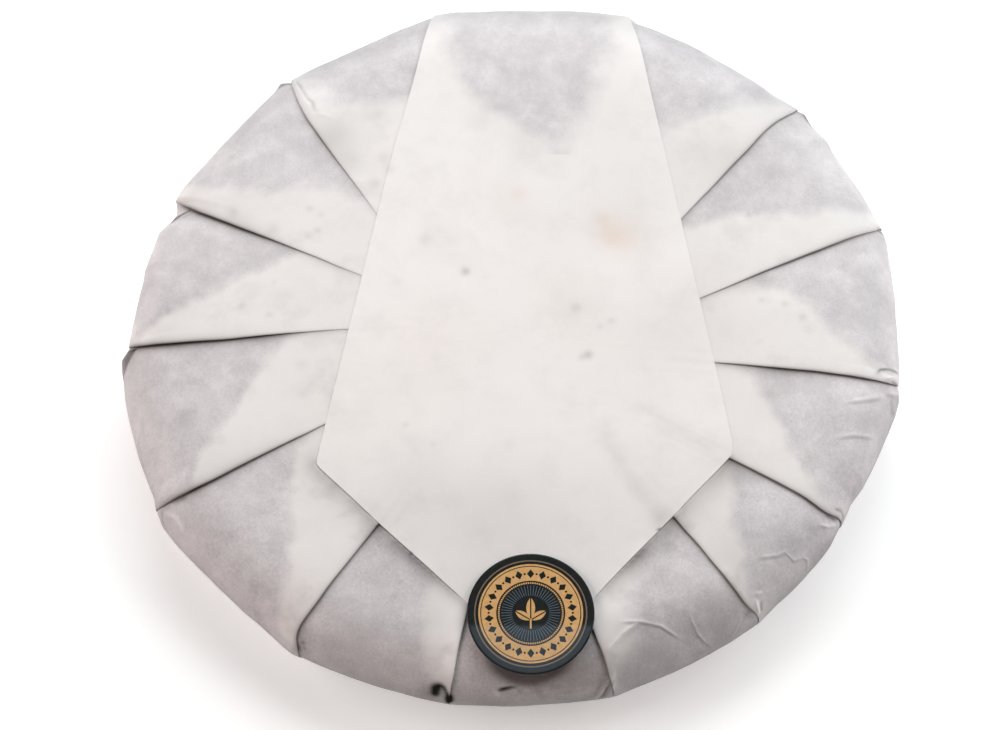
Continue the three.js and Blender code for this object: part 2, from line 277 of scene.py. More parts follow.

# Gussets: small three-cornered pockets at fold ends, how far they stand out and how much painted shade they
# get
Gusset = namedtuple("Gusset", "corners rise shade")
GUSSETS = [
    Gusset([(-60.6, 75.2), (-66, 84), (-67, 76.8)], 0.5, 0.42),
    Gusset([(-88.3, 36.7), (-94.6, 36.8), (-98.4, 32.8)], 0.1, 0.7),
    Gusset([(-97, -5.3), (-108, -3), (-105, -13.5)], 0.4, 0.62),
    Gusset([(73.5, 63.3), (79, 71), (80, 62.5)], 0.4, 0.18),
    Gusset([(94.2, 28.4), (98.5, 31), (100.5, 29)], 0.3, 0.2),
]
GUSSET_SLOPE = (0, 2.5)
GUSSET_EDGE = (-0.2, 0.3)
# Where their shade ends, down the wall
GUSSET_FADE = (107, 101)

# Marks on the paper, and painted shade in hollows: place, size and strength in percent, black in the middle
# over 100
BLACKEST = 0.04
SPECKS_AND_PAINTED_SHADE = [
    (-11.9, 13.8, 1.1, 30), (19.3, -10.1, 1.2, 26), (16.3, 3.3, 1.3, 14), (25.3, -0.5, 0.9, 12),
    (17.6, -10.8, 0.8, 14), (22.4, -2.2, 0.8, 10), (-22.5, 23.1, 1.5, 9), (-29.6, 10.8, 1.5, 5),
    (-26.8, -29.5, 0.7, 12), (-19.8, -35, 0.7, 10), (-52.6, 32.5, 0.9, 14), (-50.3, 25.9, 0.9, 16),
    (-52.5, 24.2, 0.8, 14), (-69.7, 4.3, 1, 14), (-62.2, 1.6, 0.9, 12), (61, 30.4, 0.9, 14),
    (63.9, 5.9, 0.9, 12), (70, 4.9, 0.9, 14), (74.6, 1, 1, 14), (-65, -78.9, 0.9, 15),
    (-25, -64.3, 0.4, 80), (36.6, -58, 0.4, 80), (-61.2, 11.1, 0.6, 10), (-35.7, 61.8, 1.6, 8),
    (-33.4, 47.2, 1.8, 10), (-32, 43.7, 1.5, 10), (-35.7, 39.7, 1.5, 12), (-53.5, -12.6, 1.6, 8),
    # Painted shade: marks near (-18, -102) darken a pleat's mouth, near (-1, -100) a tear, near (61, -77) a
    # lip's tip and a dent
    (-52.7, -20.7, 1.4, 8), (-49.5, 30.6, 1, 8), (-90.1, 3.5, 0.9, 12), (-19.5, -100.7, 1.1, 150),
    (-19.2, -99.3, 1.2, 150), (-18.4, -98.5, 0.9, 110), (-17.7, -98.5, 0.7, 90), (-17.1, -98.9, 0.7, 90),
    (-16.8, -99.7, 0.65, 90), (-16.5, -100.6, 0.65, 90), (-16.3, -101.4, 0.7, 95),
    (-16.2, -102.3, 0.95, 140), (-16.2, -103.2, 1, 150), (-16.4, -104.3, 0.95, 140), (-52.3, -86, 0.6, 60),
    (-52.5, -87.6, 0.5, 50), (-74.6, 32.5, 1.8, 12), (-62.4, 26.5, 1.8, 12), (-3.1, -100.7, 0.42, 85),
    (-2.5, -100.55, 0.5, 95), (-1.9, -100.4, 0.5, 95), (-1.3, -100.25, 0.48, 90), (-0.6, -100.1, 0.42, 85),
    (0.1, -99.95, 0.38, 75), (0.8, -99.8, 0.35, 60), (60.4, -79.9, 0.8, 30), (59.7, -80.3, 0.7, 20),
    (62.9, -73.2, 1, 14),
]
# Larger patches of uneven paper brightness together with painted shade and painted light, lighter where
# their strength is below 0
PATCHES_OF_TONE_AND_LIGHT = [
    # Flap
    (-3, -54, 14, 8), (-23, -50, 10, 5), (29, 58, 14, 6), (34, 36, 12, 5), (12.6, 63, 8, 2),
    (-6.8, 60.5, 5, 8), (3, 54, 6, 7), (13.6, 54, 3.5, 5), (4.5, 49.6, 6, 5), (-19, 23.5, 6, 6),
    (15, 3.5, 7, 5), (37.5, -55, 3, 15), (42, 0, 15, 7), (14, 30, 16, 4),
    # Left pleats
    (-37, 64.5, 5, 10), (-47, 54.5, 6, 20), (-42.5, 46.8, 3.5, 12), (-74, 36, 9, 6), (-88, 3, 10, 5),
    (-76, -38, 8, 5), (-80, 55, 9, 10), (-86, 43, 5, 12), (-75, 68, 7, 10), (-96, 12, 9, 7),
    (-90, -32, 7, 8), (-98, -19, 6, 10), (-94, -15, 5, 6), (-100, -7, 4.5, 27), (-89.5, 33.8, 3, 13),
    (-88, -49.7, 3, 13), (-93.5, 28, 4, 5), (-89.3, -3, 3, 6), (-54, -40, 4, -6),
    # Near pleats and front wall
    (-35, -63, 7, -6), (-23, -70.5, 5, -6), (-48.2, -79.5, 3, -12), (-46, -90, 4, 6), (52, -86.5, 5, 7),
    (-20, -81, 4, 10), (-35, -82, 8, 8), (-17.5, -92, 4, -10), (-11.6, -94.3, 4.2, -44), (6, -102, 9, -4),
    (14, -96.5, 4.8, 30), (-21.5, -101.5, 4, 28), (-3.8, -101.6, 0.9, -30), (31, -93.5, 9, 13),
    (46, -81, 5, 12), (44.6, -66.7, 6, -8), (53, -79, 4, 8), (53, -83.5, 4, 12), (34, -87, 5, 11),
    (28, -75, 6, -7),
    # Right pleats
    (53, -66, 4, 8), (60, -62, 6, 10), (93, 33, 8, 11), (74, 66, 7, 8), (99, 3, 6, 5), (72, -63.3, 5, 10),
    (66, -71, 5, 6), (52, 46, 9, 8), (66, 66, 7, 10), (55, 61, 12, 4), (66.8, -51.3, 6, -9),
    (61.6, -48.1, 5, -6), (73.6, -55.5, 4, -4), (80.7, -19.4, 6, -10), (34.4, -66.2, 4.5, -20),
    (51.6, -71, 4, -13), (79, -62, 5, 6), (61.3, -83, 2.4, -12), (89, -44, 4, -5), (77, -39, 5, -6),
    (60, -47, 4, -5), (65, -34, 4, -4), (99, -20, 5, 8), (87, -20, 5, -6), (78.7, 15.3, 6, -8),
    (89, 20.9, 5, -6), (67.4, 10.4, 5, -7),
    # Beside the sticker: painted light that lifts the shade round it
    (-12.5, -79, 4, -10), (22, -79, 4, -14), (22.5, -86, 3.5, -10), (-10.9, -88, 4.5, -33),
]
# Brown stains
STAINS = [
    (25.5, 24, 3, 60), (23.2, 29, 2.4, 50), (30, 22.5, 5, 35), (27, 27, 6.5, 35), (1.6, 36.3, 2.6, 50),
    (-3, 38.5, 2.6, 22), (-10, 42, 3.5, 12), (-2, 33, 4, 20), (-20, -4, 14, 16), (12, 8, 18, 14),
    (-32, -22, 28, 13), (38, -12, 28, 13),
]
# Painted shade on the far rim
FAR_RIM_SHADE = 0.25
FAR_RIM_AT = (87, 99)
FAR_RIM_Y = (40, 92)
# Painted shade on the foot of the wall, darker in front
FOOT_AT = (98.5, 107)
FOOT_SHADE = (0.1, 0.36)
FOOT_FRONT_Y = (0, -80)
UNDERSIDE_FADE = 12

# Flap, its outline laid out flat from the axis
FLAP_TIP = (4.75, -92)
FLAP_TIP_WIDTH = 2.1
FLAP_LEFT = (-49.1, -40.2)
FLAP_RIGHT = (56, -37.15)
FLAP_CORNER_ROUND = 0.9
FLAP_FAR_Y = 96
FLAP_FAR_X = (-21.7, 31.2)
FLAP_END_Y = 116
FLAP_CLEAR = 0.2
FLAP_DRAPE = 3.5
FLAP_DRAPE_PLACES = 6
FLAP_LIFT = [(-92, -0.25), (-90, -0.2), (-87, 0.1), (-84, 0.25), (-78, 0.3), (60, 0.2), (92, 0.5)]
FLAP_LIFT_FAR = (50, 75)
FLAP_LIFT_TIP = (-78, -86)
FLAP_OVER_RIM = (100, 116)
FLAP_TUCK = -0.4
FLAP_THICK = 0.12
FLAP_COLUMNS = 150
FLAP_UNDER_COLUMNS = 24
FLAP_EDGE = np.array([0, 0.08, 0.2, 0.4])
FLAP_ROUND = np.array([(0.7, 1, 0.7), (0.7, 0, -0.7)])
FLAP_ROWS = 380
FLAP_TONE = [(-92, 0.93), (-60, 0.955), (-30, 1.065), (20, 1.075), (60, 1.035), (100, 1.02)]
FLAP_BLOTCH = 0.4
# Darkness of its shade on the pleats by the share of the way from its tip to a side corner, and its reach
FLAP_SHADE_LEFT = [
    (0, 0.1, 2), (0.1, 0.12, 2), (0.2, 0.18, 2), (0.3, 0.5, 1.8), (0.4, 0.72, 2.2), (0.5, 0.95, 2.8),
    (0.58, 0.72, 5), (0.66, 0.5, 4), (0.75, 0.46, 3.2), (1, 0.42, 3.2),
]
FLAP_SHADE_RIGHT = [
    (0, 0.1, 2), (0.1, 0.14, 2), (0.2, 0.28, 2), (0.3, 0.38, 2), (0.4, 0.7, 2.2), (0.5, 0.95, 3.6),
    (0.57, 0.5, 5), (0.7, 0.44, 4), (0.8, 0.34, 4), (0.92, 0.5, 4), (0.97, 0.42, 3), (1, 0.08, 2),
]
# It is a little weaker close to the edge
FLAP_SHADE_START = 0.5
FLAP_SHADE_FULL = 0.8
# Grey V at the far end: both edges as x by y
GREY_V_LEFT = [(48, 12.5), (53, 7.5), (61.2, -5), (68, -11.5), (73, -14.5), (93, -18.5)]
GREY_V_RIGHT = [(48, 12.5), (58, 17.5), (72, 22), (92, 26.8)]
GREY_V_SOFT = 5
GREY_V_OUTSIDE = -10
GREY_V_RAGGED = [(2, 9, 5), (1, 3, 9)]

# Sticker
SEAL_RADIUS = 15.65
SEAL_CENTRE = (4.6, -80.45)
SEAL_THICK = 0.3
SEAL_LIFT = 1.1
SEAL_BEND_AT = (2.3, 4.9)
SEAL_SLOPES = np.radians([0.5, 6])
SEAL_CLEAR = (12, 26)
SEAL_SHADOW = (4.2, -88.2)
SEAL_SHADOW_EDGE = (13.1, 9.9)
SEAL_SHADOW_DEPTH = 0.8
SEAL_SIDES = 192
SEAL_RINGS = 40
SEAL_EDGE_TURNS = np.radians([60, 20, -20, -60])
SEAL_PROFILE_END = 1
SEAL_PROFILE_STEPS = 240


def smooth(low, high, value):
    part = np.clip((value - low) / (high - low), 0, 1)
    return part * part * (3 - 2 * part)


def lerp(a, b, part):
    return a + (b - a) * part


def read_off(pairs, place):
    """Value at a place between those of a list of pairs"""
    return np.interp(place, *zip(*pairs))


def far_from(x, y, place):
    return np.hypot(x - place[0], y - place[1])


def from_polar(distance, angle):
    """Place at a distance and an angle in degrees"""
    turn = np.radians(angle)
    return distance * np.cos(turn), distance * np.sin(turn)


def bezier(points):
    t = np.linspace(0, 1, CURVE_STEPS)[:, None]
    a, b, c, d = (np.array(point, float) for point in points)
    return (1 - t) ** 3 * a + 3 * (1 - t) ** 2 * t * b + 3 * (1 - t) * t ** 2 * c + t ** 3 * d


def half_section():
    """Points of the half section from the top's middle to the flat underside, and their distances"""
    down = np.array(from_polar(1, -SHOULDER_SLOPE))
    shoulder = np.array([SHOULDER_RADIUS, SHOULDER_Z])
    before = shoulder - SHOULDER_PULL_IN * down
    after = shoulder + SHOULDER_PULL_OUT * down
    widest = np.array([RADIUS, WIDEST_Z])
    foot = np.array([FOOT_RADIUS, 0])
    top = bezier([(0, THICKNESS), (TOP_PULL, THICKNESS), before, shoulder])
    rim = bezier([shoulder, after, widest + (0, WIDEST_PULL_UP), widest])
    wall = bezier([widest, widest - (0, WIDEST_PULL_DOWN), foot + (FOOT_PULL, 0), foot])
    points = np.vstack([top, rim[1:], wall[1:]])
    lengths = np.linalg.norm(np.diff(points, axis=0), axis=1)
    return points, np.hstack([0, np.cumsum(lengths)])


SECTION, SECTION_AT = half_section()
SECTION_END = SECTION_AT[-1]
SECTION_TANGENT = np.gradient(SECTION, SECTION_AT, axis=0)
RELIEF_END = (SECTION_END - 1, SECTION_END - 9)

# Body under the pleats: first and last distance and number of rows, with closer columns at its front wall
BODY_ROWS = [(2, 50, 12), (50, 88, 28), (88, 112, 56), (112, SECTION_END, 14)]
BODY_UNDER_ROWS = 34
BODY_FRONT = (256, 290)
BODY_FRONT_COLUMNS = 200
BODY_REST_COLUMNS = 330
BODY_GAP_AT = (-8, -6)
BODY_BLOTCH = 3


def rim_reach(angle):
    """Rim radius at an angle: between two folds the paper is partly straight, partly round"""
    angles, reaches = np.array([(fold.angle, fold.reach) for fold in FOLDS]).T
    turned = angles[0] + (angle - angles[0]) % 360
    panel = np.clip(np.searchsorted(angles, turned, side="right") - 1, 0, len(angles) - 2)
    start, end = angles[panel], angles[panel + 1]
    near, far = reaches[panel], reaches[panel + 1]
    round_rim = lerp(near, far, (turned - start) / (end - start))
    behind = np.sin(np.radians(turned - start))
    ahead = np.sin(np.radians(end - turned))
    straight = near * far * np.sin(np.radians(end - start)) / (near * behind + far * ahead)
    return lerp(round_rim, straight, FACET) + read_off(RIM_BULGES, turned % 360)


def lattice_noise(x, y, size, seed):
    """Smooth noise between -1 and 1 with lumps of about that size"""
    table = np.random.default_rng(SEED + seed).uniform(-1, 1, (LATTICE, LATTICE))
    u, v = x / size, y / size
    column, row = np.floor(u).astype(int), np.floor(v).astype(int)
    across, along = smooth(0, 1, u - column), smooth(0, 1, v - row)

    def corner(down, right):
        return table[(row + down) % LATTICE, (column + right) % LATTICE]

    low = lerp(corner(0, 0), corner(0, 1), across)
    high = lerp(corner(1, 0), corner(1, 1), across)
    return lerp(low, high, along)


def uneven(x, y, waves):
    return sum(height * lattice_noise(x, y, size, seed) for height, size, seed in waves)


def beside_line(x, y, start, end):
    """Share of the way along a line at which each place lies, and its distance from the line"""
    forth = np.subtract(end, start)
    part = np.clip(((x - start[0]) * forth[0] + (y - start[1]) * forth[1]) / (forth @ forth), 0, 1)
    return part, np.hypot(x - start[0] - part * forth[0], y - start[1] - part * forth[1])


def crease_taper(x, y, points):
    """A crease runs out at both ends and is uneven between them"""
    end_distance = np.minimum(far_from(x, y, points[0]), far_from(x, y, points[-1]))
    reach = min(CREASE_TAPER, far_from(*points[0], points[-1]) / CREASE_TAPER_PART)
    return smooth(CREASE_END, reach, end_distance) * (CREASE_MEAN + uneven(x, y, CREASE_UNEVEN))


def crease_sum(x, y, field, power):
    """Sum over all creases of their height or shade, which falls off beside them"""
    total = np.zeros(x.shape)
    for crease in CREASES:
        near = far_from(x, y, np.mean(crease.points, axis=0)) < CREASE_LIMIT
        place = x[near], y[near]
        lines = zip(crease.points[:-1], crease.points[1:])
        distance = np.min([beside_line(*place, *line)[1] for line in lines], axis=0)
        value = getattr(crease, field) * np.exp(-(distance / crease.width) ** power)
        total[near] += value * crease_taper(*place, crease.points)
    return total


def gusset_depth(x, y, corners):
    """How far places lie inside a three-cornered patch, below 0 outside"""
    corners = np.array(corners)
    middle = corners.mean(axis=0)
    inside = np.full(x.shape, np.inf)
    for (ax, ay), (bx, by) in zip(corners, np.roll(corners, -1, axis=0)):
        normal = np.array([ay - by, bx - ax]) / np.hypot(bx - ax, by - ay)
        normal = normal * np.sign(normal @ (middle - (ax, ay)))
        inside = np.minimum(inside, (x - ax) * normal[0] + (y - ay) * normal[1])
    return inside


def gusset_sum(x, y, field, edge):
    """Sum over all gussets of their rise or shade, with a soft edge"""
    return sum(getattr(one, field) * smooth(*edge, gusset_depth(x, y, one.corners)) for one in GUSSETS)


def relief(x, y, creased):
    """Unevenness that all layers of the paper share"""
    distance = np.hypot(x, y)
    stretch = lerp(RADIUS, distance, RIPPLE_STRETCH) / np.maximum(distance, 1)
    ripple = uneven(x * stretch, y * stretch, RIPPLE) * smooth(*RIPPLE_AT, distance)
    clear = smooth(*SEAL_CLEAR, far_from(x, y, SEAL_CENTRE))
    height = (uneven(x, y, WAVES) + ripple) * clear
    folded = crease_sum(x, y, "height", 1) + gusset_sum(x, y, "rise", GUSSET_SLOPE)
    return (height + creased * folded) * smooth(*RELIEF_END, distance)


def surface(along, angle, lift, creased=1):
    """Points a distance along the half section and at an angle in degrees, raised by lift"""
    r, z = (np.interp(along, SECTION_AT, values) for values in SECTION.T)
    out, up = (np.interp(along, SECTION_AT, values) for values in SECTION_TANGENT.T)
    lift = lift + relief(*from_polar(along, angle), creased)
    scale = lerp(1, rim_reach(angle) / RADIUS, smooth(*FACET_AT, along))
    x, y = from_polar((r - up * lift) * scale, angle)
    return np.stack([x, y, z + out * lift], axis=-1)


def fold_angle(fold, along):
    """A fold is a nearly straight line that passes a little beside the axis"""
    distance = np.clip(along, FOLD_INNER, RADIUS)
    straight = np.arcsin(fold.beside / distance) - np.arcsin(fold.beside / RADIUS)
    bend = sum(read_off(fold.bends, along + offset) for offset in (-BEND_SOFT, 0, BEND_SOFT)) / 3
    wobble = uneven(along, fold.angle + 0 * along, WOBBLE)
    return fold.angle + np.degrees(straight + (bend + wobble) / np.maximum(along, WOBBLE_INNER))


# Strength of the painted shade under a fold's lip
def gap_strength(fold, along):
    strength = GAP_MEAN + uneven(along, fold.angle + 0 * along, GAP_UNEVEN)
    return PERCENT * read_off(fold.gap, along) * strength * smooth(*GAP_END, along)


def gap_shade(fold, along, distance, reach):
    """Painted shade under a fold, or on its own lip, by the distance from its edge"""
    soft = GAP_SOFT * np.exp(-np.maximum(distance, 0) / read_off(reach, along))
    return gap_strength(fold, along) * np.minimum(soft, 1)


def lip_wide_shade(x, y, inward):
    """Soft shade on a lip that turns down, stronger on the left and not in front"""
    side = lerp(*LIP_WIDE_SIDES, smooth(*LIP_LEFT_X, x) * smooth(*LIP_LEFT_Y, y))
    strength = side * smooth(*LIP_FRONT_Y, y) * smooth(*LIP_WIDE_FROM, np.hypot(x, y))
    return LIP_WIDE * strength * np.exp(-np.maximum(inward, 0) / LIP_WIDE_REACH)


def flap_shade(x, y):
    """Soft shade that the flap's two lower edges cast on the pleats"""
    shade = 0
    for edge, strengths in zip(flap_lower_edges(), (FLAP_SHADE_LEFT, FLAP_SHADE_RIGHT)):
        part, distance = beside_line(x, y, *edge)
        shares, depths, reaches = zip(*strengths)
        start = lerp(FLAP_SHADE_START, 1, smooth(0, FLAP_SHADE_FULL, distance))
        soft = np.exp(-distance / np.interp(part, shares, reaches)) * start
        shade = np.maximum(shade, np.interp(part, shares, depths) * soft)
    return shade


def seal_shade(x, y):
    """Shadow below the sticker, which stands off the wall there"""
    return SEAL_SHADOW_DEPTH * smooth(*SEAL_SHADOW_EDGE, far_from(x, y, SEAL_SHADOW))


def loop_quads(index):
    """Quads between rows of points, each of them a closed loop"""
    after = np.roll(index, -1, axis=1)
    return np.stack([index[:-1], after[:-1], after[1:], index[1:]], axis=-1).reshape(-1, 4)


def closed_rings(rows, columns):
    """Faces of rings of points between a first and a last point on the axis"""
    index = 1 + np.arange(rows * columns).reshape(rows, columns)
    first = np.column_stack([0 * index[0], np.roll(index[0], -1), index[0]])
    last = np.column_stack([0 * index[-1] + 1 + rows * columns, index[-1], np.roll(index[-1], -1)])
    return [loop_quads(index), first, last]


def add_object(name, data):
    made = bpy.data.objects.new(name, data)
    bpy.context.collection.objects.link(made)
    return made


def make_piece(name, points, faces, material, node, attributes):
    """Mesh object from points in millimetres and blocks of faces, on the part's one body"""
    mesh = bpy.data.meshes.new(name)
    faces = [face for block in faces for face in block.tolist()]
    mesh.from_pydata((points * MM).tolist(), [], faces, shade_flat=False)
    for key, values in attributes.items():
        layer = mesh.attributes.new(key, "FLOAT", "POINT")
        layer.data.foreach_set("value", np.ravel(values).astype(np.float32))
    mesh.validate()
    mesh.materials.append(material)
    piece = add_object(name, mesh)
    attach(piece, "root")
    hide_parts(node)


def make_sheet(name, points, paper, look):
    """Piece of paper whose rows of points are closed loops, with its two ends capped"""
    rows, columns = points.shape[:2]
    index = np.arange(rows * columns).reshape(rows, columns)
    faces = [loop_quads(index), index[0][::-1][None], index[-1][None]]
    make_piece(name, points.reshape(-1, 3), faces, paper, "wrapped_cake", look)


def spot(x, y, mark):
    """Strength of a round mark at places round it"""
    *place, size, strength = mark
    return PERCENT * strength * np.exp(-(far_from(x, y, place) / size) ** 2)


def paper_look(x, y, layers, shade, tone_and_light=1, blotch=1):
    """Attributes of paper: layers, painted shade in hollows, brightness with painted light and shade, brown
    stains and grey blotches
    """
    for mark in SPECKS_AND_PAINTED_SHADE + PATCHES_OF_TONE_AND_LIGHT:
        tone_and_light = tone_and_light * np.maximum(1 - spot(x, y, mark), BLACKEST)
    distance = np.hypot(x, y)
    wall = smooth(SECTION_END + UNDERSIDE_FADE, SECTION_END, distance)
    foot = lerp(*FOOT_SHADE, smooth(*FOOT_FRONT_Y, y)) * smooth(*FOOT_AT, distance)
    far_rim = FAR_RIM_SHADE * smooth(*FAR_RIM_AT, distance) * smooth(*FAR_RIM_Y, y)
    # Creases paint shade in their hollows and, below 0, a highlight on pale ridges; gussets get painted
    # shade
    creases = crease_sum(x, y, "shade", 2)
    gussets = smooth(*GUSSET_FADE, distance) * gusset_sum(x, y, "shade", GUSSET_EDGE)
    tone_and_light = tone_and_light * (1 - wall * foot) * (1 - wall * far_rim) * (1 + np.maximum(-creases, 0))
    return {
        "layers": layers + 0 * x,
        "shade": np.clip(shade + np.maximum(creases, 0) + gussets, 0, 1),
        "tone_and_light": tone_and_light,
        "stain": sum(spot(x, y, mark) for mark in STAINS),
        "blotch": blotch + 0 * x,
    }


def body_shade(along, angle):
    """Painted shade under the two nearest folds on the front wall, the pleat that both lie on"""
    shade = 0
    for fold, side in ((LEFT_FOLDS[-1], 1), (RIGHT_FOLDS[-1], -1)):
        across = side * np.radians(angle - fold_angle(fold, along)) * along
        gap = gap_shade(fold, along, across, fold.gap_reach)
        shade = np.maximum(shade, gap * smooth(*BODY_GAP_AT, across))
    return shade


def make_body(paper):
    """Cake under the pleats: top, rim, wall and flat underside"""
    parts = [np.linspace(*part, endpoint=part[1] == SECTION_END) for part in BODY_ROWS]
    along = np.hstack(parts)[:, None]
    front = np.linspace(*BODY_FRONT, BODY_FRONT_COLUMNS, endpoint=False)
    rest = np.linspace(BODY_FRONT[1], BODY_FRONT[0] + 360, BODY_REST_COLUMNS, endpoint=False)
    angle = np.hstack([front, rest])[None]
    upper = surface(along, angle, read_off(BASE_LIFT, along) + 0 * angle)
    upper[-1, :, 2] = 0
    share = np.linspace(1, 0, BODY_UNDER_ROWS, endpoint=False)[1:, None, None]
    inward = SECTION_END + FOOT_RADIUS * (1 - share[..., 0])
    rings = np.vstack([upper, upper[-1][None] * share])
    points = np.vstack([(0, 0, THICKNESS + BASE_LIFT[0][1]), rings.reshape(-1, 3), (0, 0, 0)])
    flat_along = np.vstack([along, inward])
    flat_x, flat_y = from_polar(flat_along, angle)
    x = np.hstack([0, flat_x.ravel(), 2 * SECTION_END])
    y = np.hstack([0, flat_y.ravel(), 0])
    shade = 0 * flat_along + 0 * angle
    shade[:len(along)] = body_shade(along, angle)
    shade = np.hstack([0, shade.ravel(), 0]) + seal_shade(x, y)
    look = paper_look(x, y, 0, shade, blotch=BODY_BLOTCH)
    faces = closed_rings(len(rings), angle.size)
    make_piece("wrapper_body", points, faces, paper, "wrapped_cake", look)


def panel_rows(steps):
    """Distances along a panel, closest at the rim"""
    starts = (PANEL_INNER,) + PANEL_RIM
    ends = PANEL_RIM + (PANEL_OUTER + LAST_ROW,)
    return np.hstack([np.arange(*part) for part in zip(starts, ends, steps)])[:, None]


def panel_columns(width, roll, count):
    """Distances across a panel's upper face, closer at both folds"""
    hidden = np.linspace(-PANEL_HIDDEN, 0, EDGE_COLUMNS, endpoint=False) + 0 * width
    first = np.linspace(0, PANEL_EDGE, EDGE_COLUMNS, endpoint=False) + 0 * width
    last_start = width - roll - PANEL_EDGE
    middle = lerp(PANEL_EDGE, last_start, np.linspace(0, 1, count, endpoint=False))
    last = last_start + np.linspace(0, PANEL_EDGE, EDGE_COLUMNS)
    return np.hstack([hidden, first, middle, last])


def white_share(along, white_edge):
    """Share of the way across a panel where its white part begins"""
    (first, share), (second, next_share) = white_edge[:2]
    inner_slope = (next_share - share) / (second - first)
    return PERCENT * (read_off(white_edge, along) - inner_slope * np.maximum(first - along, 0))


def make_panel(name, under, own, paper):
    """Thin sheet that comes out from under a neighbour and ends in its own rolled fold"""
    fine = name in FINE_PANELS
    along = panel_rows(FINE_STEPS if fine else PANEL_STEPS)
    start = fold_angle(under, along)
    width = np.abs(np.radians(fold_angle(own, along) - start)) * along
    step = own.step * read_off(STEP_LIFT, along)
    low = read_off(LOW_LIFT, along)
    roll = PANEL_THICK / 2

    def top_lift(across):
        share = np.clip(across / width, 0, 1)
        drop = LIP_DROP * np.exp(-np.maximum(width - across, 0) / LIP_REACH)
        return low + step * (share ** PANEL_RISE - drop)

    across_top = panel_columns(width, roll, FINE_COLUMNS if fine else PANEL_COLUMNS)
    turn = np.radians(np.linspace(90, -90, ROLL_COLUMNS + 2)[1:-1])
    across_roll = width - roll + roll * np.cos(turn)
    lift_roll = top_lift(width - roll) - roll + roll * np.sin(turn)
    across_lip = width - roll - np.linspace(0, PANEL_EDGE, EDGE_COLUMNS)
    deep_start = across_lip[:, -1:] - PANEL_DEEP_FROM
    across_deep = lerp(deep_start, -PANEL_HIDDEN, np.linspace(0, 1, UNDER_COLUMNS))
    across = np.hstack([across_top, across_roll, across_lip, across_deep])
    lift_under = [top_lift(across_lip) - PANEL_THICK, top_lift(across_deep) - PANEL_DEEP]
    lift = np.hstack([top_lift(across_top), lift_roll] + lift_under)
    angle = start + np.sign(own.angle - under.angle) * np.degrees(across / along)
    creased = np.ones(across.shape)
    creased[:, -UNDER_COLUMNS:] = 0
    points = surface(along, angle, lift, creased)

    x, y = from_polar(along, angle)
    layers = across - white_share(along, own.white) * width + uneven(x, y, WHITE_RAGGED)
    # Painted shade: dark underside, shade under the neighbour's lip and on its own lip, and the flap's cast
    # shade
    shade = gap_strength(own, along) + 0 * across
    gap = gap_shade(under, along, across_top, under.gap_reach)
    lip = gap_shade(own, along, width - across_top, LIP_SOFT)
    shade[:, :across_top.shape[1]] = np.maximum(gap, lip)
    shade = shade + flap_shade(x, y) + lip_wide_shade(x, y, width - across) * (1 - shade)
    blotch = lerp(*PANEL_BLOTCH, smooth(*PANEL_BLOTCH_Y, y))
    look = paper_look(x, y, smooth(-own.soft, own.soft, layers), shade, blotch=blotch)
    make_sheet(name, points, paper, look)


def soft_max(a, b):
    return (a + b + np.sqrt((a - b) ** 2 + FLAP_CORNER_ROUND ** 2)) / 2


def flap_lower_edges():
    """Ends of the two lower cut edges, each from the tip to a side corner"""
    x, y = FLAP_TIP
    half = FLAP_TIP_WIDTH / 2
    return ((x - half, y), FLAP_LEFT), ((x + half, y), FLAP_RIGHT)


def flap_edges(y):
    """Left and right edge of the flat flap at a distance along it"""
    sides = []
    for (tip, corner), far_x, side in zip(flap_lower_edges(), FLAP_FAR_X, (1, -1)):
        lower = lerp(tip[0], corner[0], (y - tip[1]) / (corner[1] - tip[1]))
        upper = lerp(corner[0], far_x, (y - corner[1]) / (FLAP_FAR_Y - corner[1]))
        sides.append(side * soft_max(side * lower, side * upper))
    return sides


def pleat_lift(x, y):
    """Height of the topmost pleat"""
    along = np.hypot(x, y)
    angle = np.degrees(np.arctan2(y, x))
    step = read_off(STEP_LIFT, along)
    height = low = read_off(LOW_LIFT, along)
    for name, under, own in PLEATS:
        start = fold_angle(under, along)
        share = ((angle - start + 180) % 360 - 180) / (fold_angle(own, along) - start)
        rise = own.step * step * np.clip(share, 0, 1) ** PANEL_RISE
        height = np.where((share > 0) & (share < 1), low + rise, height)
    return height


def draped(x, y):
    """Height of a sheet that lies softly over the pleats"""
    turns = np.arange(FLAP_DRAPE_PLACES) * 360 / FLAP_DRAPE_PLACES
    around = [from_polar(FLAP_DRAPE, turn) for turn in turns]
    return sum(pleat_lift(x + dx, y + dy) for dx, dy in around + [(0, 0)]) / (len(around) + 1)


def flap_layers(x, y):
    """White all over but for a grey V at the far end, where one layer covers the tea"""
    inside = np.minimum(x - read_off(GREY_V_LEFT, y), read_off(GREY_V_RIGHT, y) - x)
    inside = np.where(y > GREY_V_LEFT[0][0], inside, GREY_V_OUTSIDE)
    return 1 - smooth(-GREY_V_SOFT, GREY_V_SOFT, inside + uneven(x, y, GREY_V_RAGGED))


